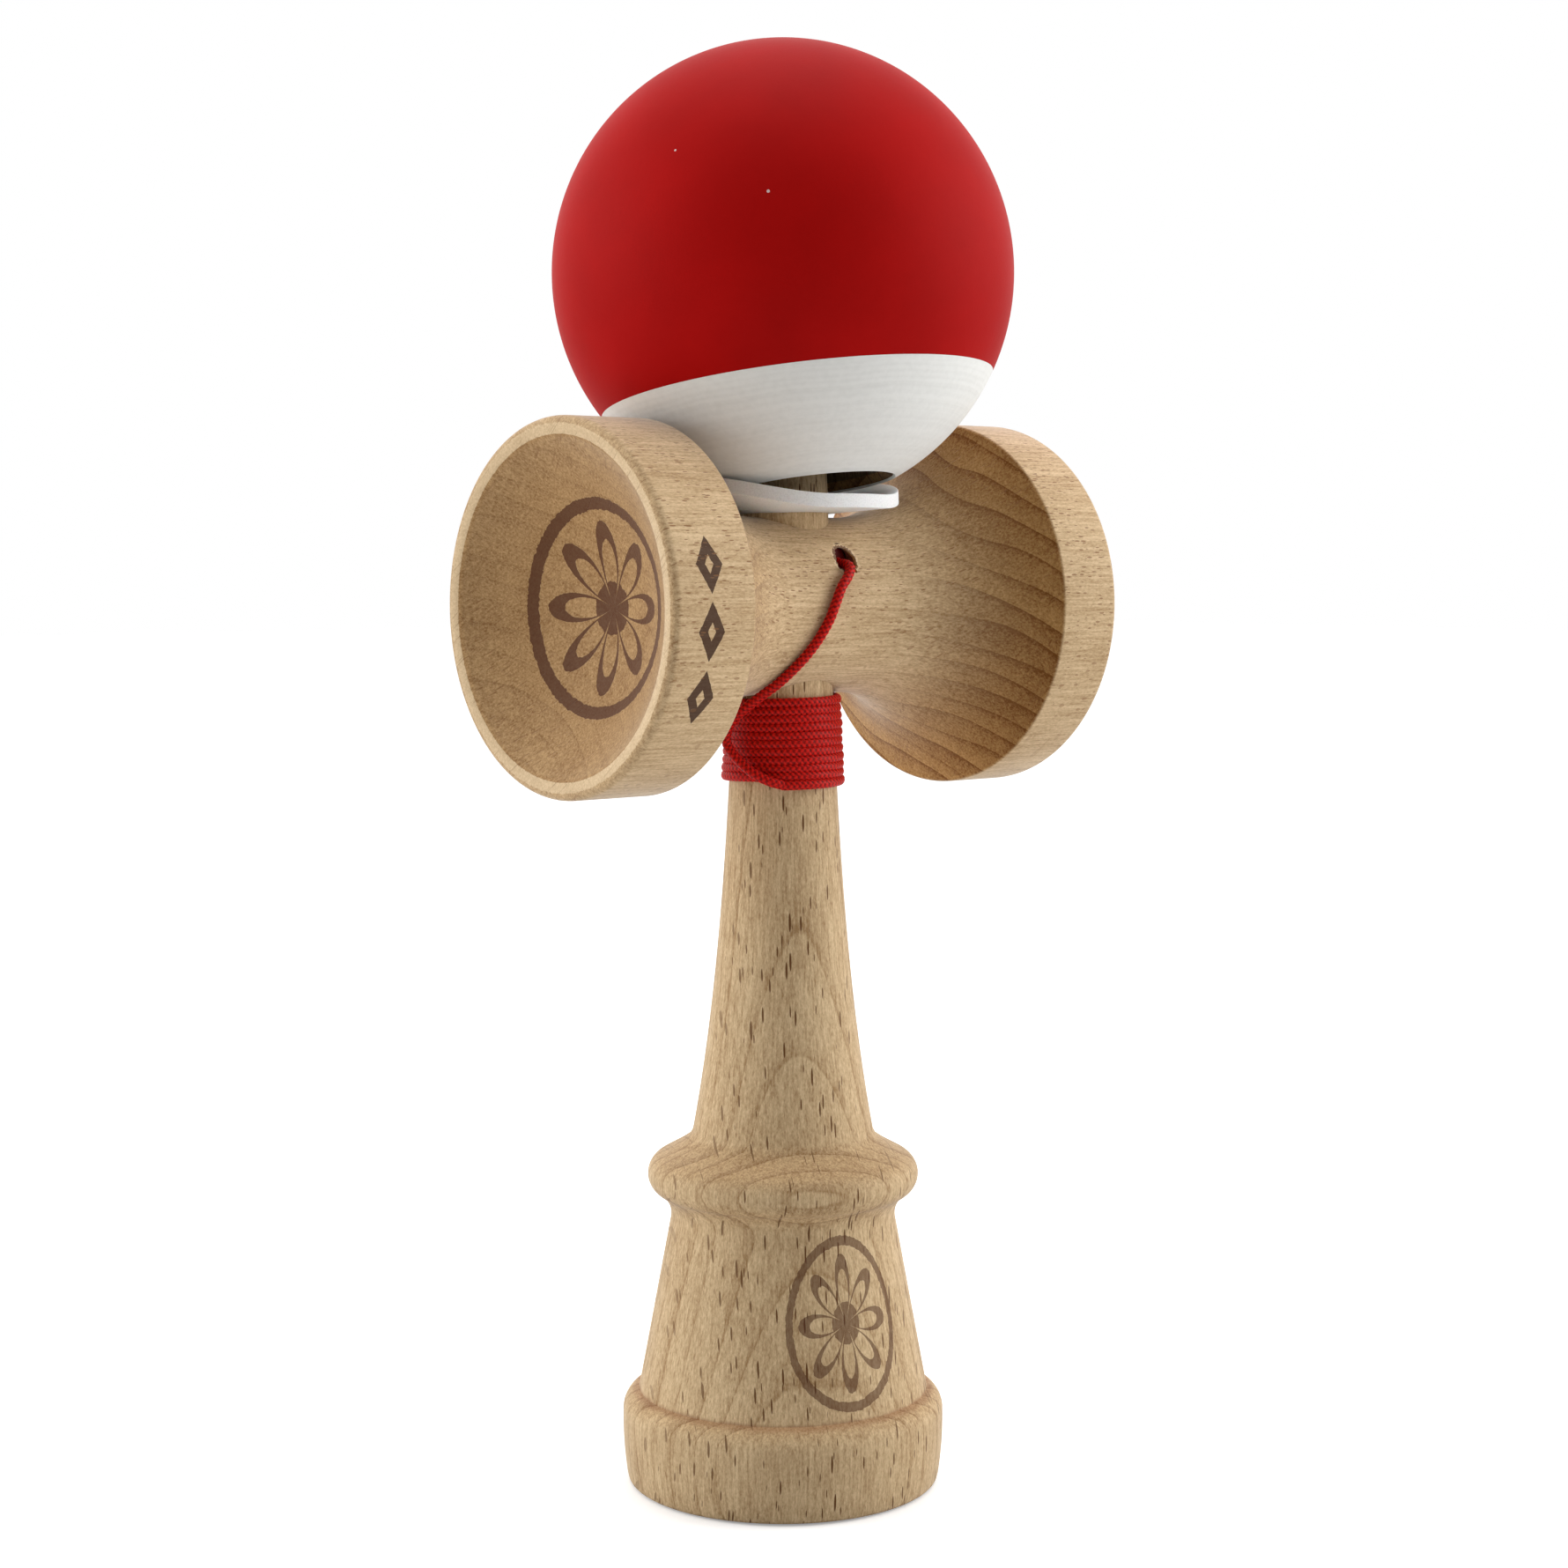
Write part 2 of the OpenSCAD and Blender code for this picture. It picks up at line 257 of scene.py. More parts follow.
def place_mm(tree):
    """Where a point of the piece is, in millimetres."""
    spot = add(tree, "TexCoord").outputs["Object"]
    return add(tree, "VectorMath", {"operation": "SCALE"}, i0=spot, i3=1000.0).outputs[0]


def noise(tree, place, scale, detail=2.0, roughness=0.5):
    return add(tree, "TexNoise", Vector=place, Scale=scale, Detail=detail, Roughness=roughness).outputs["Fac"]


def relief(tree, shader, height, depth, strength=1.0):
    """Bump of a real depth in millimetres."""
    bump = add(tree, "Bump", Height=height, Distance=depth * mm, Strength=strength)
    tree.links.new(bump.outputs[0], shader.inputs["Normal"])


def cord_finish():
    """Glossy red braid, dark between its strands."""
    finish, tree, shader = start_finish(
        "red_braid", Roughness=0.45, Sheen_Weight=0.04, Sheen_Roughness=0.3, Specular_IOR_Level=0.12
    )
    height = add(tree, "Attribute", {"attribute_name": "braid_height"}).outputs["Fac"]
    spot = place_mm(tree)
    fibre = noise(tree, spot, 5.0, 3.0)
    level = calc(tree, "MULTIPLY_ADD", calc(tree, "SUBTRACT", fibre, 0.5), 0.35, height, clamp=True)
    colour = ramp(tree, level, (0.35, cord_shadow_red), (0.85, cord_red))
    tree.links.new(colour, shader.inputs["Base Color"])
    relief(tree, shader, fibre, 0.04, 0.6)
    return finish


cord_route = np.vstack([smooth_line(lead_route)[:-1], wrap_line(), smooth_line(rise_route)[1:]])
string, string_line, braid_height = braided_cord("string", cord_route)
string.data.attributes.new("braid_height", "FLOAT", "POINT").data.foreach_set(
    "value", braid_height.astype(np.float32)
)
red_braid = cord_finish()
string.data.materials.append(red_braid)
for knot in ("sarado_knot", "tama_knot"):
    nodes[knot].data.materials.clear()
    nodes[knot].data.materials.append(red_braid)
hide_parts("string_lead", "string_wraps", "string_rise")
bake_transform(string)

# ---- Ken
# The sword: one piece of beech turned between centres, with a foot hollowed into the
# base cup, a cone, a collar, a handle and the spike. Sanded, not varnished.
foot_r = 21.4
base_mouth_r = 18.6
seat_r = 30.5
cone_top = (14.98, 35.15)
fillet_r = 3.4
fillet_place = (18.32, 35.79)
collar_r = 18.0
collar_z = 41.2
collar_round = 2.9
spike_root_z = 128
tip_r = 2.75
tip_z = 162.8
ken_light = (0.72, 0.54, 0.32, 1)
ken_dark = (0.34, 0.205, 0.095, 1)
fleck_brown = (0.13, 0.055, 0.018, 1)
end_light = (0.54, 0.315, 0.115, 1)
end_dark = (0.17, 0.062, 0.01, 1)
burnt_brown = (0.10, 0.036, 0.016, 1)
crease_brown = (0.27, 0.11, 0.055, 1)
rosette_size = (8.8, 11.2)
rosette_place = (-3.75, -17.6, 24.6)
crease_z = (12.3, 12.85)


def arc(centre, radius, start, end, steps):
    """Points (radius, height) of an arc between two angles in degrees."""
    a = np.radians(np.linspace(start, end, steps + 1))
    return np.column_stack([centre[0] + radius * np.cos(a), centre[1] + radius * np.sin(a)])


def seat_back(mouth_r):
    """Distance from a cup's mouth to the centre of its hollow."""
    return math.sqrt(seat_r**2 - mouth_r**2)


def turned(name, outline, place=Matrix(), sides=224, closed=False, sharp_angle=35):
    """A solid turned from an outline of (radius, height) points round its own axis."""
    turn = 2 * math.pi * np.arange(sides) / sides
    points, rings = [], []
    for r, h in outline:
        start = len(points)
        if r < 1e-6:
            points.append((0.0, 0.0, h))
            rings.append([start])
        else:
            points += [(r * math.cos(a), r * math.sin(a), h) for a in turn]
            rings.append(list(range(start, start + sides)))
    faces = []
    pairs = list(zip(rings, rings[1:]))
    if closed:
        pairs.append((rings[-1], rings[0]))
    for low, high in pairs:
        for k in range(sides):
            n = (k + 1) % sides
            corners = [low[k % len(low)], low[n % len(low)], high[n % len(high)], high[k % len(high)]]
            faces.append(tuple(dict.fromkeys(corners)))
    turned_points = np.array(points) @ np.array(place.to_3x3()).T + np.array(place.translation)
    return new_piece(name, turned_points, faces, sharp_angle)


def ken_outline():
    """Base cup, foot, cone, collar, handle and spike, as (radius, height)."""
    grip_z = np.linspace(grip_root_z, spike_root_z, 46)
    spike_z = np.linspace(129, tip_z - tip_r - 0.6, 24)
    neck = float(grip_radius(spike_root_z))
    spike = neck + (tip_r - neck) * ((spike_z - spike_root_z) / (tip_z - tip_r - spike_root_z)) ** 1.6
    return np.vstack([
        arc((0, -seat_back(base_mouth_r)), seat_r, 90, math.degrees(math.acos(base_mouth_r / seat_r)), 30),
        arc((base_mouth_r + 0.25, 0.3), 0.3, 150, 250, 4),
        arc((foot_r - 1.25, 0.6), 0.6, -90, -8, 6),
        arc((foot_r - 48, 8.2), 48, -8.6, 0, 10),
        arc((foot_r - 3, 9.4), 3, 4, 72, 14),
        np.column_stack([np.linspace(19.25, cone_top[0], 14), np.linspace(12.3, cone_top[1], 14)]),
        arc(fillet_place, fillet_r, 190, 121, 12),
        arc((collar_r - collar_round, collar_z), collar_round, -59, 64, 28),
        [[14.0, 45.1], [12.5, 46.1]],
        np.column_stack([grip_radius(grip_z), grip_z]),
        np.column_stack([spike, spike_z]),
        arc((0, tip_z - tip_r), tip_r, 0, 90, 12),
    ])


def between(tree, value, low, high, soft):
    """1 where a value lies between two limits, with soft edges."""
    rise = add(tree, "MapRange", {"interpolation_type": "SMOOTHSTEP"}, Value=value,
               From_Min=low - soft, From_Max=low + soft).outputs[0]
    fall = add(tree, "MapRange", {"interpolation_type": "SMOOTHSTEP"}, Value=value,
               From_Min=high - soft, From_Max=high + soft).outputs[0]
    return calc(tree, "SUBTRACT", rise, fall, clamp=True)


def rosette(tree, s, t, waver):
    """A ring round eight open petals, from two coordinates that reach 1 at the ring's outside."""
    out = calc(tree, "SQRT", calc(tree, "ADD", calc(tree, "MULTIPLY", s, s), calc(tree, "MULTIPLY", t, t)))
    out = calc(tree, "ADD", out, waver)
    turn = calc(tree, "ARCTAN2", t, s)
    lobe = calc(tree, "ABSOLUTE", calc(tree, "COSINE", calc(tree, "MULTIPLY", turn, 4.0)))
    petal = calc(tree, "POWER", lobe, 0.6)
    petal_edge = calc(tree, "MULTIPLY", petal, 0.78)
    inside = calc(tree, "LESS_THAN", out, petal_edge)
    open_part = calc(tree, "MULTIPLY", calc(tree, "LESS_THAN", out, calc(tree, "SUBTRACT", petal_edge, 0.17)),
                     calc(tree, "GREATER_THAN", out, 0.24))
    leaf = calc(tree, "SUBTRACT", inside, open_part, clamp=True)
    ring = calc(tree, "COMPARE", out, 0.93, 0.055)
    return calc(tree, "MAXIMUM", leaf, ring)


def beech(name, grain, ring_face, light, dark, ring_gap=2.7, fleck_cell=(0.5, 4.2, 20), fleck_size=0.33,
          fleck_share=1.0, fleck_colour=fleck_brown, year_ink=0.42, pith=58.0, wave=5.0, sheen=0.2, burn=0.7,
          offset=(0, 0, 0), details=None):
    """Beech cut so that its grain runs one way and its year rings lie across another.
    Year rings, fine fibres, dark ray flecks, and darker end grain where the grain comes out."""
    grain, ring_face = Vector(grain).normalized(), Vector(ring_face).normalized()
    finish, tree, shader = start_finish(
        name, Specular_IOR_Level=0.1, Sheen_Weight=sheen, Sheen_Roughness=0.35
    )
    spot = place_mm(tree)
    shifted = add(tree, "VectorMath", {"operation": "ADD"}, i0=spot, i1=offset).outputs[0]

    def along(axis):
        return add(tree, "VectorMath", {"operation": "DOT_PRODUCT"}, i0=shifted, i1=axis).outputs["Value"]

    across = along(grain.cross(ring_face))
    lengthwise = along(grain)
    depth = along(ring_face)
    wood = add(tree, "CombineXYZ", X=across, Y=lengthwise, Z=depth).outputs[0]

    def cells(*size):
        return add(tree, "VectorMath", {"operation": "DIVIDE"}, i0=wood, i1=size).outputs[0]

    # year rings, round a pith far behind the face
    from_pith = add(tree, "CombineXYZ", X=across, Y=calc(tree, "ADD", depth, pith)).outputs[0]
    ring_r = add(tree, "VectorMath", {"operation": "LENGTH"}, i0=from_pith).outputs["Value"]
    wander = calc(tree, "MULTIPLY", noise(tree, cells(24, 60, 24), 1.0, 1.0), wave)
    uneven = calc(tree, "MULTIPLY", noise(tree, cells(400, 400, 5), 1.0, 0.0), 3.2)
    rings = calc(tree, "DIVIDE", calc(tree, "ADD", calc(tree, "ADD", ring_r, wander), uneven), ring_gap)
    year = calc(tree, "FRACT", rings)
    year_number = calc(tree, "FLOOR", rings)
    year_tone = add(tree, "TexWhiteNoise", {"noise_dimensions": "1D"}, W=year_number).outputs["Value"]
    year_line = ramp(tree, year, (0.0, 0.0), (0.7, 0.04), (0.92, 0.5), (0.97, 1.0), (1.0, 0.0))

    # how far a face cuts across the grain, and how far it lies along the rings
    facing = add(tree, "TexCoord").outputs["Normal"]

    def facing_share(axis):
        dot = add(tree, "VectorMath", {"operation": "DOT_PRODUCT"}, i0=facing, i1=axis).outputs["Value"]
        return calc(tree, "ABSOLUTE", dot)

    end_cut = facing_share(grain)
    flat_cut = facing_share(ring_face)
    end_share = add(tree, "MapRange", {"interpolation_type": "SMOOTHSTEP"}, Value=end_cut,
                    From_Min=0.12, From_Max=0.95).outputs[0]

    # fibres, mottling and pores
    fibre = noise(tree, cells(0.33, 7.0, 0.33), 1.0, 3.0, 0.6)
    mottle = noise(tree, cells(5.0, 22.0, 5.0), 1.0, 2.0)
    pore = noise(tree, cells(0.2, 0.6, 0.2), 1.0, 2.0, 0.7)
    tone = calc(tree, "MULTIPLY_ADD", year_line, year_ink, -1.32)
    for part, share in ((fibre, 1.6), (mottle, 0.5), (pore, 1.35)):
        tone = calc(tree, "MULTIPLY_ADD", part, share, tone)
    tone = calc(tree, "MAXIMUM", tone, 0.0)
    side_colour = ramp(tree, tone, (0.0, light), (1.0, dark))

    # rays seen end on, as short dark dashes along the grain
    rays = add(tree, "TexVoronoi", {"voronoi_dimensions": "3D"}, Vector=cells(*fleck_cell), Scale=1.0)
    chosen = add(tree, "SeparateColor", Color=rays.outputs["Color"]).outputs[0]
    reach = calc(tree, "MULTIPLY", chosen, fleck_size)
    inside = calc(tree, "SUBTRACT", reach, rays.outputs["Distance"])
    fleck = add(tree, "MapRange", {"interpolation_type": "SMOOTHSTEP"}, Value=inside,
                From_Min=0.0, From_Max=0.05).outputs[0]
    seen_share = calc(tree, "MULTIPLY_ADD", flat_cut, fleck_share * 0.8, fleck_share * 0.2, clamp=True)
    fleck = calc(tree, "MULTIPLY", fleck, seen_share)

    marks, calm = None, 0.0
    if details:
        end_share, marks, side_colour, calm = details(tree, spot, facing, end_share, side_colour)
    year_share = calc(tree, "MULTIPLY_ADD", year_tone, 0.3, calc(tree, "MULTIPLY", year, 0.2))
    year_share = calc(tree, "MULTIPLY_ADD", year_line, 0.3, year_share)
    year_share = calc(tree, "MULTIPLY", year_share, calc(tree, "SUBTRACT", 1.0, calm))
    end_tone = calc(tree, "MULTIPLY_ADD", tone, 0.8, year_share)
    end_tone = calc(tree, "ADD", end_tone, calc(tree, "MULTIPLY", calm, 0.2))
    end_colour = ramp(tree, end_tone, (0.0, end_light), (1.0, end_dark))
    colour = tint(tree, end_share, side_colour, end_colour)
    colour = tint(tree, fleck, colour, fleck_colour)
    if marks is not None:
        colour = tint(tree, calc(tree, "MULTIPLY", marks, burn), colour, burnt_brown)
    tree.links.new(colour, shader.inputs["Base Color"])
    rough = calc(tree, "MULTIPLY_ADD", tone, 0.2, 0.52)
    tree.links.new(rough, shader.inputs["Roughness"])
    height = calc(tree, "SUBTRACT", calc(tree, "MULTIPLY", fibre, 0.5), fleck)
    height = calc(tree, "MULTIPLY_ADD", pore, 0.5, height)
    if marks is not None:
        height = calc(tree, "MULTIPLY_ADD", marks, -0.8, height)
    relief(tree, shader, height, 0.06, 0.7)
    return finish


def ken_details(tree, spot, facing, end_share, side_colour):
    """A darker reddish line along the crease above the foot, and the burnt rosette on the cone."""
    xyz = add(tree, "SeparateXYZ", Vector=spot)
    x, y, z = xyz.outputs
    blur = noise(tree, spot, 0.35, 2.0)
    crease = between(tree, calc(tree, "MULTIPLY_ADD", blur, 0.8, z), *crease_z, 0.3)
    side_colour = tint(tree, calc(tree, "MULTIPLY", crease, 0.5), side_colour, crease_brown)
    middle = math.atan2(rosette_place[1], rosette_place[0])
    r = math.hypot(*rosette_place[:2])
    turned_x = calc(tree, "ADD", calc(tree, "MULTIPLY", x, math.cos(middle)),
                    calc(tree, "MULTIPLY", y, math.sin(middle)))
    turned_y = calc(tree, "SUBTRACT", calc(tree, "MULTIPLY", y, math.cos(middle)),
                    calc(tree, "MULTIPLY", x, math.sin(middle)))
    s = calc(tree, "MULTIPLY", calc(tree, "ARCTAN2", turned_y, turned_x), r / rosette_size[0])
    t = calc(tree, "DIVIDE", calc(tree, "SUBTRACT", z, rosette_place[2]), rosette_size[1])
    waver = calc(tree, "MULTIPLY", calc(tree, "SUBTRACT", noise(tree, spot, 1.6, 2.0), 0.5), 0.05)
    near_height = calc(tree, "COMPARE", z, rosette_place[2], 12.0)
    marks = calc(tree, "MULTIPLY", rosette(tree, s, t, waver), near_height)
    return calc(tree, "MULTIPLY", end_share, 0.3), marks, side_colour, 0.0


ken = turned("ken_turned", ken_outline())
ken.data.materials.append(
    beech("ken_beech", (0, 0, 1), (-0.465, -0.885, 0), ken_light, ken_dark, details=ken_details)
)
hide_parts("ken")
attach(ken, "ken")

# ---- Sarado
# The crosspiece: a second turned piece of beech with its grain along the cups' axis,
# hollowed at both ends, bored across for the sword and drilled for the string.
cross_z = 116.5
waist_r = 11.6
lip_round = 1.0
band_break = 0.5
lip_t = 0.2
small_cup = {"end": 36.9, "rim": 23.7, "band": 12.5, "mouth": 21.4, "waist": 6}
big_cup = {"end": 37.9, "rim": 24.5, "band": 10.3, "mouth": 22.3, "waist": 9}
hole_place = (2.1, -10.2, 122.6)
hole_r = 1.5
pocket_r = 2.1
pocket_y = -8.3
sarado_light = (0.72, 0.53, 0.315, 1)
sarado_dark = (0.36, 0.22, 0.10, 1)
dash_brown = (0.26, 0.125, 0.05, 1)
lip_light = (0.78, 0.60, 0.38, 1)
# dark brown of the painted shade in the string hole's mouth and bore
hole_shade_brown = (0.12, 0.035, 0.018, 1)
char_brown = (0.03, 0.011, 0.007, 1)
lip_w = 1.35
cup_rosette_r = 14.0
band_mark_size = (2.0, 3.6)
band_mark_x = -31.3
band_mark_turns = (13.5, -6, -26)
sword_bore_z = (100, 134)
sword_gap = 0.03
hole_sides = 40
chip_depth = 0.14


def cup_half(cup):
    """One half of the crosspiece, from the bottom of its cup to the waist, end at +height."""
    flare_x = cup["end"] - cup["band"] - cup["waist"]
    flare_y = cup["rim"] - band_break - waist_r
    flare_r = (flare_x**2 + flare_y**2) / (2 * flare_y)
    sweep = math.degrees(math.asin(flare_x / flare_r))
    hollow = seat_back(cup["mouth"])
    hollow_sweep = math.degrees(math.acos(cup["mouth"] / seat_r))
    return np.vstack([
        arc((0, cup["end"] - lip_t + hollow), seat_r, -90, -hollow_sweep, 34),
        arc((cup["rim"] - lip_round, cup["end"] - lip_round), lip_round, 110, 0, 12),
        arc((cup["rim"] - band_break, cup["end"] - cup["band"] + band_break), band_break, 0, -90, 6),
        arc((waist_r + flare_r, cup["waist"]), flare_r, 180 - sweep, 180, 40),
    ])


def cut(piece, cutter):
    """Takes one solid out of another, and clears the cutter away."""
    boolean = piece.modifiers.new("cut", "BOOLEAN")
    boolean.operation, boolean.solver, boolean.object = "DIFFERENCE", "EXACT", cutter
    settled = bpy.data.meshes.new_from_object(piece.evaluated_get(bpy.context.evaluated_depsgraph_get()))
    piece.modifiers.clear()
    piece.data = settled
    bpy.data.objects.remove(cutter)


def torn_hole_outline():
    """The string hole with the chipped funnel at its mouth, and the knot's pocket behind it."""
    mouth = -hole_place[1]
    return [(0, -pocket_y - 4), (pocket_r, -pocket_y - 4), (pocket_r, -pocket_y), (hole_r, -pocket_y + 0.05),
            (hole_r, mouth - 1.5), (hole_r + 0.12, mouth - 0.9), (hole_r + 0.3, mouth),
            (hole_r + 0.9, mouth + 1.2), (0, mouth + 1.2)]


def sarado_details(tree, spot, facing, end_share, side_colour):
    """The cup's rosette, the three marks on its band, the pale lips of both cups, torn at
    their outsides, and the chipped string hole, with painted shade in its mouth and bore."""
    xyz = add(tree, "SeparateXYZ", Vector=spot)
    x, y, z = xyz.outputs
    up = calc(tree, "SUBTRACT", z, cross_z)
    out = calc(tree, "SQRT", calc(tree, "ADD", calc(tree, "MULTIPLY", y, y), calc(tree, "MULTIPLY", up, up)))
    waver = calc(tree, "MULTIPLY", calc(tree, "SUBTRACT", noise(tree, spot, 1.6, 2.0), 0.5), 0.04)
    marks = rosette(tree, calc(tree, "DIVIDE", y, cup_rosette_r),
                    calc(tree, "DIVIDE", up, cup_rosette_r), waver)
    marks = calc(tree, "MULTIPLY", marks, calc(tree, "LESS_THAN", x, -20.0))
    turn = calc(tree, "ARCTAN2", up, calc(tree, "MULTIPLY", y, -1.0))
    side = calc(tree, "DIVIDE", calc(tree, "SUBTRACT", x, band_mark_x), band_mark_size[0])
    side = calc(tree, "ABSOLUTE", side)
    for degrees in band_mark_turns:
        way = calc(tree, "SUBTRACT", turn, math.radians(degrees))
        way = calc(tree, "ABSOLUTE", calc(tree, "MULTIPLY", way, small_cup["rim"] / band_mark_size[1]))
        spread = calc(tree, "ADD", calc(tree, "ADD", side, way), calc(tree, "MULTIPLY", waver, 3.0))
        mark = calc(tree, "SUBTRACT", calc(tree, "LESS_THAN", spread, 1.0),
                    calc(tree, "LESS_THAN", spread, 0.32))
        mark = calc(tree, "MULTIPLY", mark, calc(tree, "GREATER_THAN", out, 23.0))
        side_colour = tint(tree, calc(tree, "MULTIPLY", mark, 0.9), side_colour, char_brown)
        marks = calc(tree, "MAXIMUM", marks, calc(tree, "MULTIPLY", mark, 0.3))
    # cups are sanded finer than the flares, and their lips are left pale
    facing_x = add(tree, "SeparateXYZ", Vector=facing).outputs[0]
    outward = calc(tree, "MULTIPLY", facing_x, calc(tree, "SIGN", x))
    mouth_here = calc(tree, "MULTIPLY_ADD", calc(tree, "GREATER_THAN", x, 0.0),
                      big_cup["mouth"] - small_cup["mouth"], small_cup["mouth"])
    past_mouth = calc(tree, "SUBTRACT", out, mouth_here)
    raggedness = calc(tree, "SUBTRACT", noise(tree, spot, 2.4, 3.0, 0.7), 0.5)
    torn = calc(tree, "MULTIPLY_ADD", raggedness, 0.7, past_mouth)
    lip = calc(tree, "MULTIPLY", between(tree, torn, 0.0, lip_w, 0.04),
               calc(tree, "GREATER_THAN", outward, 0.6))
    lip = calc(tree, "MULTIPLY", lip, calc(tree, "GREATER_THAN", past_mouth, -0.02))
    hollow = calc(tree, "MULTIPLY", calc(tree, "GREATER_THAN", outward, 0.15),
                  calc(tree, "LESS_THAN", past_mouth, 0.0))
    rounded = calc(tree, "MULTIPLY", calc(tree, "GREATER_THAN", outward, 0.1),
                   calc(tree, "GREATER_THAN", past_mouth, 0.0))
    keep = calc(tree, "MULTIPLY", calc(tree, "MULTIPLY_ADD", hollow, -0.25, 1.0),
                calc(tree, "MULTIPLY_ADD", rounded, -0.75, 1.0))
    keep = calc(tree, "MULTIPLY", keep, calc(tree, "SUBTRACT", 1.0, lip))
    side_colour = tint(tree, calc(tree, "MULTIPLY", lip, 0.4), side_colour, lip_light)
    from_hole = add(tree, "VectorMath", {"operation": "SUBTRACT"}, i0=spot, i1=hole_place).outputs[0]
    from_hole = add(tree, "VectorMath", {"operation": "MULTIPLY"}, i0=from_hole, i1=(1, 0, 1)).outputs[0]
    from_hole = add(tree, "VectorMath", {"operation": "LENGTH"}, i0=from_hole).outputs["Value"]
    front = calc(tree, "LESS_THAN", y, 0.0)
    splinters = calc(tree, "MULTIPLY_ADD", noise(tree, spot, 1.8, 3.0), 1.6, from_hole)
    splinters = calc(tree, "MULTIPLY", calc(tree, "LESS_THAN", splinters, hole_r + 1.35), front)
    side_colour = tint(tree, calc(tree, "MULTIPLY", splinters, 0.75), side_colour, lip_light)
    # painted shade: the chipped mouth of the string hole is darkened, with ragged edges
    ragged = calc(tree, "MULTIPLY_ADD", noise(tree, spot, 2.6, 3.0), 1.0, from_hole)
    ragged = calc(tree, "MULTIPLY", calc(tree, "LESS_THAN", ragged, hole_r + 0.85), front)
    side_colour = tint(tree, calc(tree, "MULTIPLY", ragged, 0.8), side_colour, hole_shade_brown)
    # painted shade: the inside of the string hole and the knot's pocket is darkened to near black
    bored = calc(tree, "MULTIPLY", calc(tree, "LESS_THAN", from_hole, pocket_r + 0.1), front)
    bored = calc(tree, "MULTIPLY", bored, calc(tree, "LESS_THAN", out, waist_r - 0.3))
    side_colour = tint(tree, bored, side_colour, hole_shade_brown)
    keep = calc(tree, "MULTIPLY", keep, calc(tree, "SUBTRACT", 1.0, bored))
    return calc(tree, "MULTIPLY", end_share, keep), marks, side_colour, calc(tree, "MULTIPLY", hollow, 0.8)


along_x = Matrix.Translation((0, 0, cross_z)) @ Matrix.Rotation(math.pi / 2, 4, "Y")
small_half = cup_half(small_cup) * (1, -1)
big_half = cup_half(big_cup)[::-1]
sarado = turned("sarado_turned", np.vstack([small_half, big_half]), along_x, sharp_angle=40)
sword_z = np.linspace(*sword_bore_z, 20)
sword_wall = np.column_stack([grip_radius(sword_z) + sword_gap, sword_z])
sword_wall = np.vstack([[[0, sword_bore_z[0]]], sword_wall, [[0, sword_bore_z[1]]]])
sword_bore = turned("sword_bore", sword_wall, sides=96)
cut(sarado, sword_bore)
towards_front = Matrix.Translation((hole_place[0], 0, hole_place[2])) @ Matrix.Rotation(math.pi / 2, 4, "X")
string_bore = turned("string_bore", torn_hole_outline(), towards_front, sides=hole_sides)
chips = np.random.default_rng(7).normal(0, 1, hole_sides)
for point in string_bore.data.vertices:
    depth = -point.co.y / mm + hole_place[1]
    spoke = Vector((point.co.x - hole_place[0] * mm, 0, point.co.z - hole_place[2] * mm))
    if depth > -1.2 and spoke.length > 0:
        number = round(math.atan2(spoke.z, spoke.x) / (2 * math.pi) * hole_sides) % hole_sides
        point.co += spoke.normalized() * chip_depth * mm * chips[number]
cut(sarado, string_bore)
sarado.data.shade_smooth()
sarado.data.set_sharp_from_angle(angle=math.radians(40))
sarado.data.materials.clear()
sarado.data.materials.append(
    beech("sarado_beech", (1, 0, 0), (0, -0.78, 0.62), sarado_light, sarado_dark, ring_gap=2.9,
          fleck_cell=(0.3, 1.5, 10), fleck_size=0.36, fleck_share=0.85, fleck_colour=dash_brown,
          year_ink=0.14, pith=120.0, wave=2.5, sheen=0.36, burn=0.9, offset=(11, 3, 7),
          details=sarado_details)
)
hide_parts("sarado")
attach(sarado, "ken")

# ---- Tama
# The ball: turned wood with a spike bore below and a string hole above. It is sprayed
# with soft-touch red rubber paint, and with matte white paint round the bore.
ball_r = 30.0
coat_t = 0.38
colour_line = 15.7
mouth_r = 11.4
countersink_r = 2.4
ball_z = 159.4
lean_side = 1.5         # towards the small cup, in degrees
lean_back = 8.8         # away from the string hole, in degrees
ball_lean = (Matrix.Translation((0, 0, ball_z)) @ Matrix.Rotation(math.radians(-lean_side), 4, "Y")
             @ Matrix.Rotation(math.radians(-lean_back), 4, "X"))
ball_axis = ball_lean.to_3x3() @ Vector((0, 0, 1))
coat_red = (0.42, 0.0035, 0.003, 1)
coat_red_deep = (0.37, 0.003, 0.0025, 1)
speck_white = (0.8, 0.72, 0.7, 1)
paint_white = (0.83, 0.83, 0.80, 1)
paint_grey = (0.76, 0.76, 0.73, 1)
# beech tones darkened well below the wood's own: painted shade for the spike bore and string hole
core_shaded_light = (0.20, 0.14, 0.08, 1)
core_shaded_dark = (0.08, 0.05, 0.025, 1)


def sphere_arc(radius, start, end, steps):
    """An arc of a sphere's outline between two heights from its centre."""
    low, high = math.degrees(math.asin(start / radius)), math.degrees(math.asin(end / radius))
    return arc((0, 0), radius, low, high, steps)


def red_coat_outline():
    """A thin shell that rounds over at the string hole and ends square at the colour line."""
    hole_h = math.sqrt(ball_r**2 - countersink_r**2)
    inner = ball_r - coat_t
    inner_r = countersink_r - 0.34
    return np.vstack([
        sphere_arc(ball_r, -colour_line, hole_h - 0.03, 90),
        [[countersink_r - 0.2, hole_h - 0.1], [inner_r, math.sqrt(inner**2 - inner_r**2)]],
        sphere_arc(inner, math.sqrt(inner**2 - inner_r**2) - 0.05, -colour_line, 60),
    ])


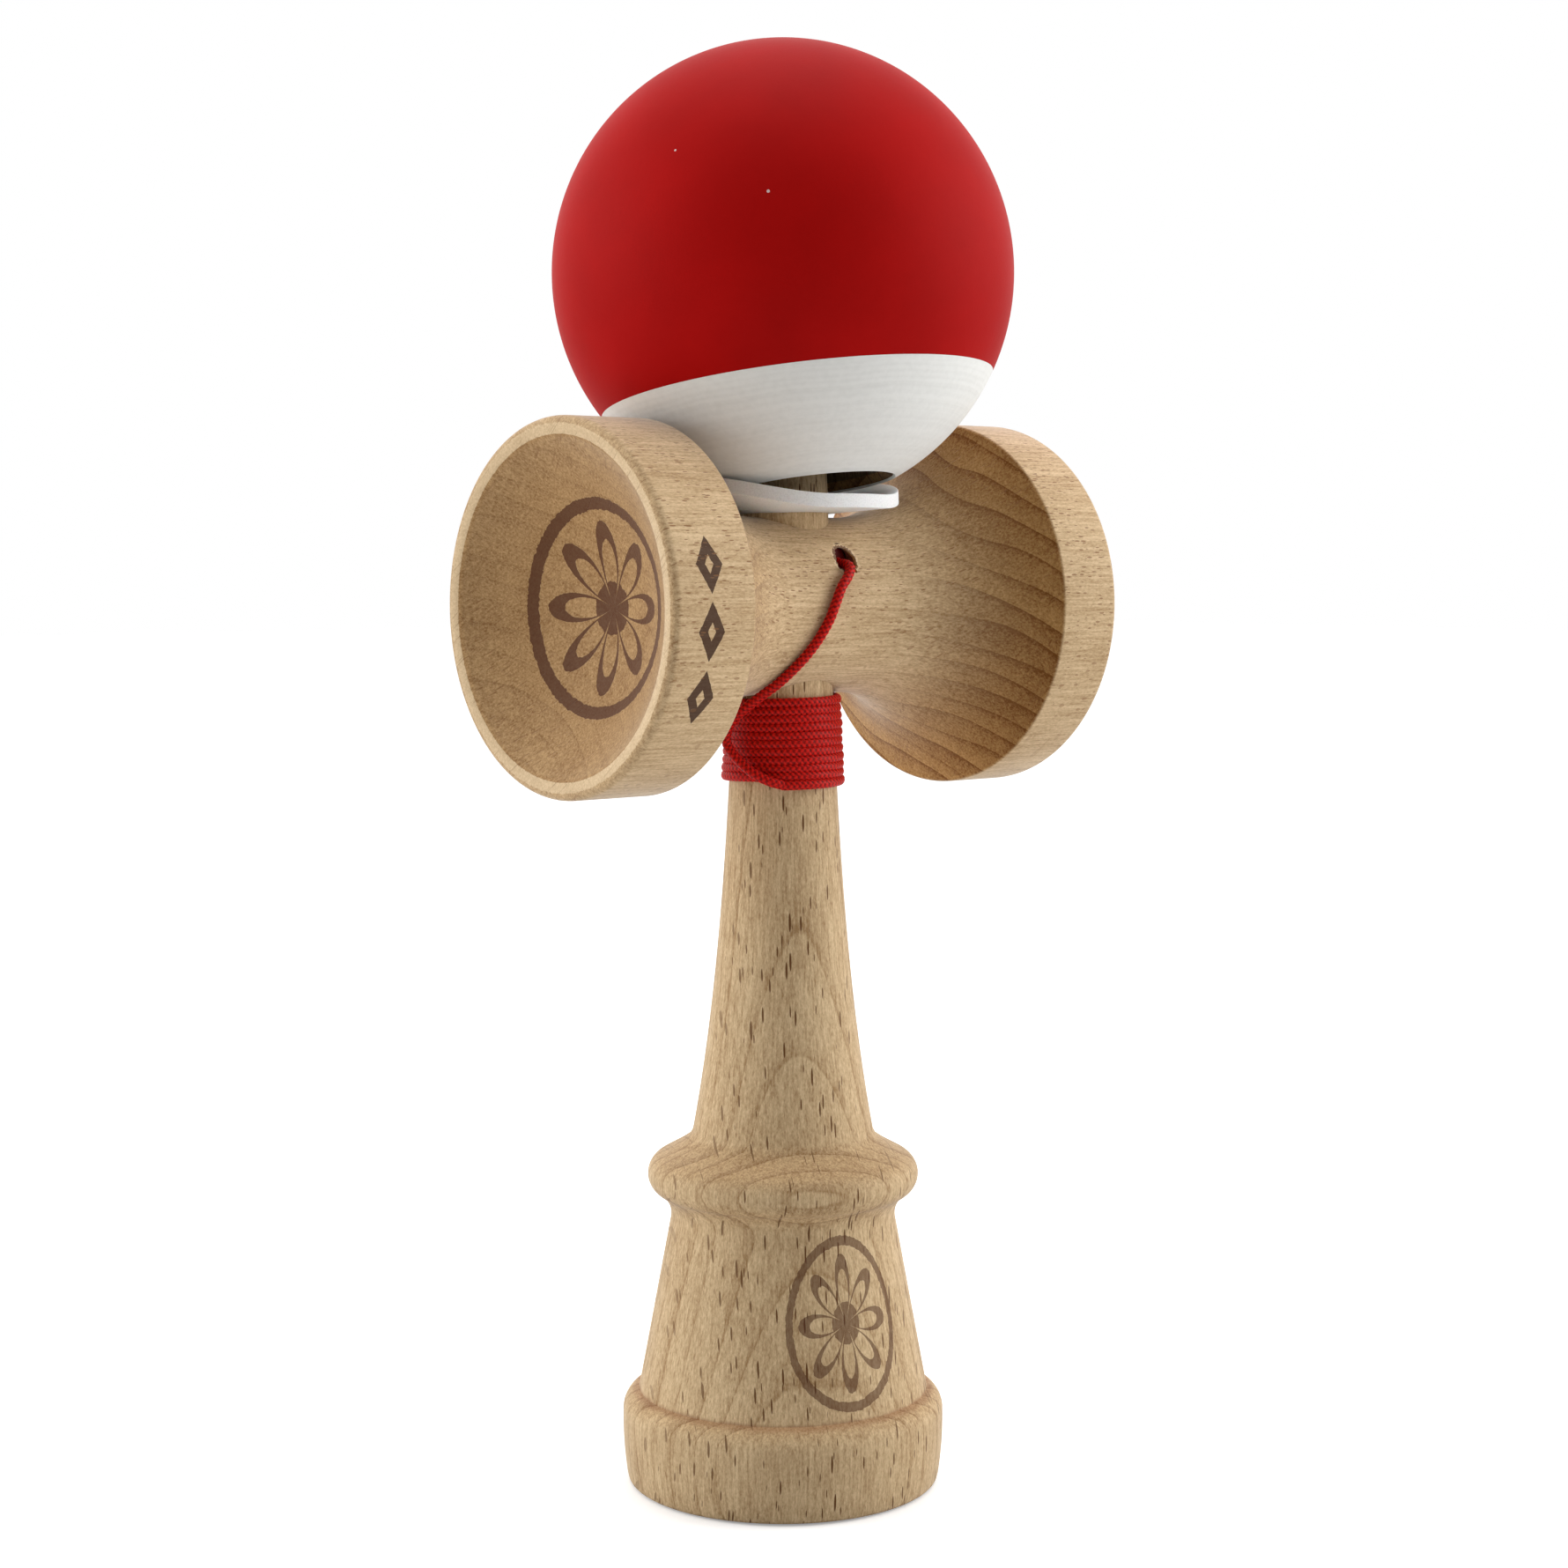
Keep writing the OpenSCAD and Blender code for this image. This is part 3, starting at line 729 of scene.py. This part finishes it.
def white_coat_outline():
    """A thin shell from the colour line to the bevel of the spike bore."""
    inner = ball_r - coat_t
    mouth_h = -math.sqrt(ball_r**2 - mouth_r**2)
    inner_r = mouth_r - 0.28
    return np.vstack([
        sphere_arc(ball_r, -colour_line - 0.02, mouth_h + 0.08, 40),
        [[mouth_r - 0.02, mouth_h + 0.02], [inner_r, -math.sqrt(inner**2 - inner_r**2)]],
        sphere_arc(inner, -math.sqrt(inner**2 - inner_r**2) + 0.05, -colour_line - 0.02, 30),
    ])


def red_finish():
    """Soft-touch paint: deep red, velvety at grazing angles, with a few dust specks in it."""
    finish, tree, shader = start_finish(
        "red_rubber_paint", Roughness=0.6, Specular_IOR_Level=0.04, Sheen_Weight=0.09, Sheen_Roughness=0.3,
        Sheen_Tint=(1.0, 0.8, 0.8, 1),
    )
    spot = place_mm(tree)
    cloud = noise(tree, spot, 0.09, 3.0)
    colour = ramp(tree, cloud, (0.3, coat_red_deep), (0.7, coat_red))
    dust = add(tree, "TexVoronoi", Vector=spot, Scale=0.16)
    chosen = add(tree, "SeparateColor", Color=dust.outputs["Color"]).outputs[0]
    speck = calc(tree, "MULTIPLY", calc(tree, "LESS_THAN", dust.outputs["Distance"], 0.035),
                 calc(tree, "GREATER_THAN", chosen, 0.6))
    colour = tint(tree, calc(tree, "MULTIPLY", speck, 0.7), colour, speck_white)
    tree.links.new(colour, shader.inputs["Base Color"])
    grain = calc(tree, "MULTIPLY_ADD", noise(tree, spot, 0.8, 2.0), 0.6, noise(tree, spot, 3.5, 2.0))
    relief(tree, shader, grain, 0.03, 0.5)
    return finish


def white_finish():
    """Matte white paint that lets the turning lines show through, faintly."""
    finish, tree, shader = start_finish("white_paint", Roughness=0.55, Specular_IOR_Level=0.35)
    spot = place_mm(tree)
    height = add(tree, "VectorMath", {"operation": "DOT_PRODUCT"}, i0=spot, i1=ball_axis).outputs["Value"]
    wobble = calc(tree, "MULTIPLY_ADD", noise(tree, spot, 0.06, 1.0), 1.2, height)
    lines = add(tree, "TexNoise", {"noise_dimensions": "1D"}, W=wobble, Scale=1.5, Detail=3.0).outputs["Fac"]
    level = calc(tree, "MULTIPLY_ADD", noise(tree, spot, 1.2, 3.0), 0.5, calc(tree, "MULTIPLY", lines, 0.5))
    colour = ramp(tree, level, (0.3, paint_grey), (0.6, paint_white))
    tree.links.new(colour, shader.inputs["Base Color"])
    relief(tree, shader, calc(tree, "MULTIPLY_ADD", noise(tree, spot, 2.5, 2.0), 0.5, lines), 0.05, 0.5)
    return finish


red_coat = turned("red_coat", red_coat_outline(), ball_lean, sides=256, closed=True)
red_coat.data.materials.append(red_finish())
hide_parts("tama_red_coat")
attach(red_coat, "tama")
white_coat = turned("white_coat", white_coat_outline(), ball_lean, sides=256, closed=True)
white_coat.data.materials.append(white_finish())
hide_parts("tama_white_coat")
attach(white_coat, "tama")
# The bare wood seen in the spike bore and the string hole gets these dark tones: painted shade.
core_shaded_finish = beech("ball_beech", ball_axis, (1, 0, 0), core_shaded_light, core_shaded_dark, offset=(5, 9, 2))
for turned_part in ("tama_core", "tama_bead"):
    nodes[turned_part].data.materials.clear()
    nodes[turned_part].data.materials.append(core_shaded_finish)

# ---- Spacer
# A die-cut disc of dense white foam rubber, threaded on the spike. The two flares
# under it bend it up at its ends, and it tips a little towards the back.
spacer_r = 15.2
spacer_hole_r = 6.05
spacer_t = 1.8
spacer_edge = 0.14
spacer_flat = 4.0       # half the width that stays flat on the waist
spacer_bend = 24.5
spacer_mid = (0.4, 0.0, 128.35)
spacer_tip = 3.0
foam_white = (0.88, 0.88, 0.87, 1)
foam_grey = (0.76, 0.76, 0.75, 1)


def spacer_outline():
    """The foam's section, with edges that the die has left slightly round."""
    e = spacer_edge
    low = np.linspace(spacer_hole_r + e, spacer_r - e, 10)
    high = np.linspace(spacer_r - e, spacer_hole_r + e, 10)
    return np.vstack([
        np.column_stack([low, np.zeros(10)]),
        arc((spacer_r - e, e), e, -60, 0, 3),
        arc((spacer_r - e, spacer_t - e), e, 0, 60, 3),
        np.column_stack([high, np.full(10, spacer_t)]),
        arc((spacer_hole_r + e, spacer_t - e), e, 120, 180, 3),
        arc((spacer_hole_r + e, e), e, 180, 240, 3),
    ])


def foam_finish():
    """Closed-cell foam: chalky white with a fine pitted skin."""
    finish, tree, shader = start_finish(
        "white_foam", Roughness=0.8, Specular_IOR_Level=0.25, Subsurface_Weight=0.15, Subsurface_Scale=0.001
    )
    spot = place_mm(tree)
    pits = noise(tree, spot, 4.5, 3.0, 0.65)
    tree.links.new(ramp(tree, pits, (0.3, foam_grey), (0.55, foam_white)), shader.inputs["Base Color"])
    relief(tree, shader, pits, 0.06, 0.7)
    return finish


spacer = turned("foam_spacer", spacer_outline(), sides=192, closed=True)
tip = Matrix.Rotation(math.radians(-spacer_tip), 4, "X")
for point in spacer.data.vertices:
    across = max(abs(point.co.x / mm - spacer_mid[0]) - spacer_flat, 0)
    bent = point.co + Vector((0, 0, (spacer_bend - math.sqrt(spacer_bend**2 - across**2)) * mm))
    point.co = tip @ bent + Vector((0, 0, spacer_mid[2] * mm))
spacer.data.materials.append(foam_finish())
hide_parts("spacer_washer")
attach(spacer, "spacer")

# ---- Studio
# A white room with large soft lights at both sides and above, and a darker front,
# over a plain floor that is white to the eye but throws little light back.
floor_mesh = bpy.data.meshes.new("floor")
floor_half = 4.0
floor_corners = [(-floor_half, -floor_half, 0), (floor_half, -floor_half, 0),
                 (floor_half, floor_half, 0), (-floor_half, floor_half, 0)]
floor_mesh.from_pydata(floor_corners, [], [(0, 1, 2, 3)])
floor = bpy.data.objects.new("floor", floor_mesh)
floor.location.z = -0.0002
bpy.context.scene.collection.objects.link(floor)
floor_finish, floor_tree, floor_shader = start_finish(
    "floor", Roughness=0.9, Specular_IOR_Level=0.0, Emission_Color=(1, 1, 1, 1)
)
floor_seen = add(floor_tree, "LightPath").outputs["Is Camera Ray"]
floor_tree.links.new(ramp(floor_tree, floor_seen, (0.0, 0.62), (1.0, 0.9)), floor_shader.inputs["Base Color"])
floor_tree.links.new(calc(floor_tree, "MULTIPLY", floor_seen, 0.3), floor_shader.inputs["Emission Strength"])
floor_mesh.materials.append(floor_finish)

room = bpy.data.worlds.new("room")
room.use_nodes = True
bpy.context.scene.world = room
room_tree = room.node_tree
room_tree.nodes.clear()
front = Vector((-camera_look.x, -camera_look.y, 0.1)).normalized()
gaze = add(room_tree, "TexCoord").outputs["Generated"]
towards = add(room_tree, "VectorMath", {"operation": "DOT_PRODUCT"}, i0=gaze, i1=front).outputs["Value"]
glow = add(room_tree, "MapRange", {"interpolation_type": "SMOOTHSTEP"}, Value=towards,
           From_Min=0.0, From_Max=0.95, To_Min=1.15, To_Max=0.1).outputs[0]
seen = add(room_tree, "LightPath").outputs["Is Camera Ray"]
strength = add(room_tree, "Mix", {"data_type": "FLOAT"}, i0=seen, i2=glow, i3=1.0).outputs[0]
white_room = add(room_tree, "Background", Color=(1, 1, 1, 1), Strength=strength)
room_out = room_tree.nodes.new("ShaderNodeOutputWorld")
room_tree.links.new(white_room.outputs[0], room_out.inputs["Surface"])


def soft_light(name, place, size, power):
    """A large square light that faces the middle of the object."""
    light = bpy.data.lights.new(name, "AREA")
    light.size, light.energy = size, power
    lamp = bpy.data.objects.new(name, light)
    lamp.location = place
    lamp.rotation_euler = (Vector((0, 0, 0.1)) - Vector(place)).to_track_quat("-Z", "Y").to_euler()
    bpy.context.scene.collection.objects.link(lamp)


soft_light("left_light", (-0.75, 0.6, 0.4), 0.6, 4.8)
soft_light("right_light", (0.72, -0.5, 0.4), 0.6, 4.6)
soft_light("top_light", (0.1, 0.1, 0.95), 0.6, 2.8)
